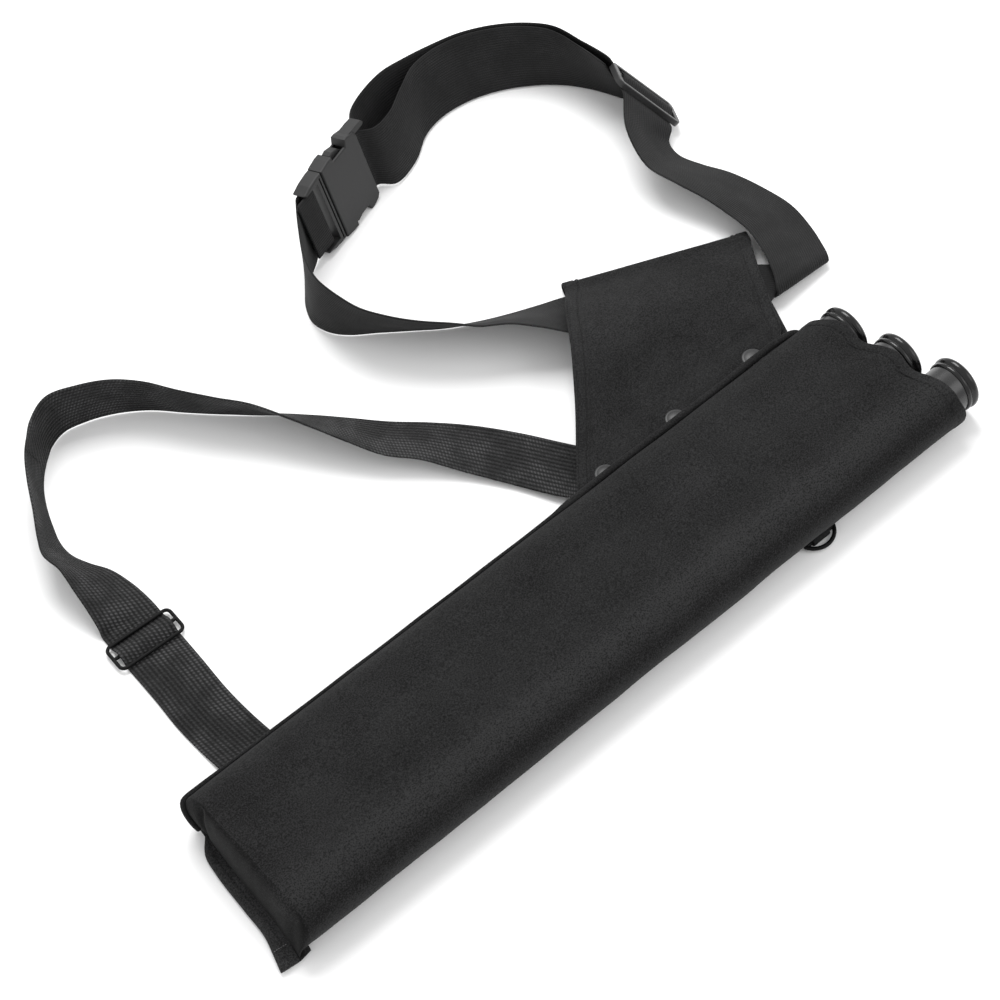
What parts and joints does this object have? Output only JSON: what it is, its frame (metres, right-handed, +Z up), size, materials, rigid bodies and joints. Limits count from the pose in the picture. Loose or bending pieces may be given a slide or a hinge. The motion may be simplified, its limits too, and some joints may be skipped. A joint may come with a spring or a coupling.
{
  "type": "archery quiver",
  "caption": "Flat padded archery quiver: arrow tubes side by side in a fabric sleeve, with a snap-down hanger flap, a buckled waist belt and an adjustable shoulder strap.",
  "frame": {"origin": "centre of the sleeve's flat underside, on the surface it lies on", "axes": "+X along the tubes toward their mouths, +Y across the sleeve toward the back seam and the straps, +Z up away from the surface"},
  "size_m": [0.6223, 0.4653, 0.0651],
  "materials": {
    "cover_fabric": "matte woven",
    "panel_fabric": "matte woven",
    "padding": "foam",
    "piping": "woven binding",
    "webbing_belt": "ribbed webbing",
    "webbing_strap": "ribbed webbing",
    "tube_plastic": "smooth",
    "ring_plastic": "glossy",
    "plug_plastic": "matte",
    "buckle_plastic": "moulded",
    "slider_plastic": "moulded",
    "snap_metal": "dark lacquer",
    "wire_metal": "black coating"
  },
  "bodies": {
    "quiver": {"sleeve_cover": "cover_fabric", "padded_liner": "padding", "mouth_facing": "cover_fabric", "back_seam_piping": "piping", "bottom_hem": "piping", "hanger_back_panel": "panel_fabric", "flap_fold": "panel_fabric", "snap_studs": "snap_metal", "snap_posts": "snap_metal", "belt_left_run": "webbing_belt", "belt_tunnel_run": "webbing_belt", "belt_right_run": "webbing_belt", "belt_loop_front": "webbing_belt", "belt_loop_back": "webbing_belt", "buckle_female": "buckle_plastic", "shoulder_strap_loop": "webbing_strap", "shoulder_strap_adjuster": "webbing_strap", "d_ring_tab": "webbing_strap"},
    "flap": {"flap_front": "panel_fabric", "snap_caps": "snap_metal", "snap_sockets": "snap_metal"},
    "male_half": {"buckle_male": "buckle_plastic", "belt_tail": "webbing_belt"},
    "upper_latch": {"latch_arm_upper": "buckle_plastic"},
    "lower_latch": {"latch_arm_lower": "buckle_plastic"},
    "belt_adjuster": {"belt_slider": "slider_plastic"},
    "strap_adjuster": {"strap_slider": "wire_metal"},
    "hanging_ring": {"d_ring": "wire_metal"},
    "arrow_tube_1": {"tube_1": "tube_plastic", "mouth_ring_1": "ring_plastic", "end_plug_1": "plug_plastic"},
    "arrow_tube_2": {"tube_2": "tube_plastic", "mouth_ring_2": "ring_plastic", "end_plug_2": "plug_plastic"},
    "arrow_tube_3": {"tube_3": "tube_plastic", "mouth_ring_3": "ring_plastic", "end_plug_3": "plug_plastic"}
  },
  "joints": [
    {"name": "tube_1_pull", "type": "slide", "parent": "quiver", "child": "arrow_tube_1", "axis": [1, 0, 0], "range_m": [0, 0.5]},
    {"name": "tube_2_pull", "type": "slide", "parent": "quiver", "child": "arrow_tube_2", "axis": [1, 0, 0], "range_m": [0, 0.5]},
    {"name": "tube_3_pull", "type": "slide", "parent": "quiver", "child": "arrow_tube_3", "axis": [1, 0, 0], "range_m": [0, 0.5]},
    {"name": "flap_open", "type": "hinge", "parent": "quiver", "child": "flap", "pos_m": [0.21142, 0.17402, 0.00612], "axis": [0.9168, -0.3983, 0.0279], "range_deg": [-120, 0], "deforming": ["flap_fold"]},
    {"name": "buckle_release", "type": "slide", "parent": "quiver", "child": "male_half", "axis": [-0.9521, -0.3057, 0], "range_m": [0, 0.035], "deforming": ["belt_left_run", "latch_arm_upper", "latch_arm_lower"]},
    {"name": "upper_latch_squeeze", "type": "hinge", "parent": "male_half", "child": "upper_latch", "pos_m": [0.0659, 0.35103, 0.0506], "axis": [0.2907, -0.9055, 0.309], "range_deg": [-12, 0], "stiffness_Nm_per_rad": 0.3},
    {"name": "lower_latch_squeeze", "type": "hinge", "parent": "male_half", "child": "lower_latch", "pos_m": [0.07015, 0.33779, 0.0078], "axis": [0.2907, -0.9055, 0.309], "range_deg": [0, 12], "stiffness_Nm_per_rad": 0.3},
    {"name": "belt_slider_adjust", "type": "slide", "parent": "quiver", "child": "belt_adjuster", "axis": [0.4623, 0.8442, -0.2713], "range_m": [-0.008, 0.008], "deforming": ["belt_right_run", "belt_loop_front", "belt_loop_back"]},
    {"name": "strap_slider_adjust", "type": "slide", "parent": "quiver", "child": "strap_adjuster", "axis": [-0.04, -0.9992, 0], "range_m": [-0.012, 0.015], "deforming": ["shoulder_strap_loop", "shoulder_strap_adjuster"]},
    {"name": "d_ring_swing", "type": "hinge", "parent": "quiver", "child": "hanging_ring", "pos_m": [0.141, -0.0545, 0.0032], "axis": [1, 0, 0], "range_deg": [-50, 90]}
  ]
}
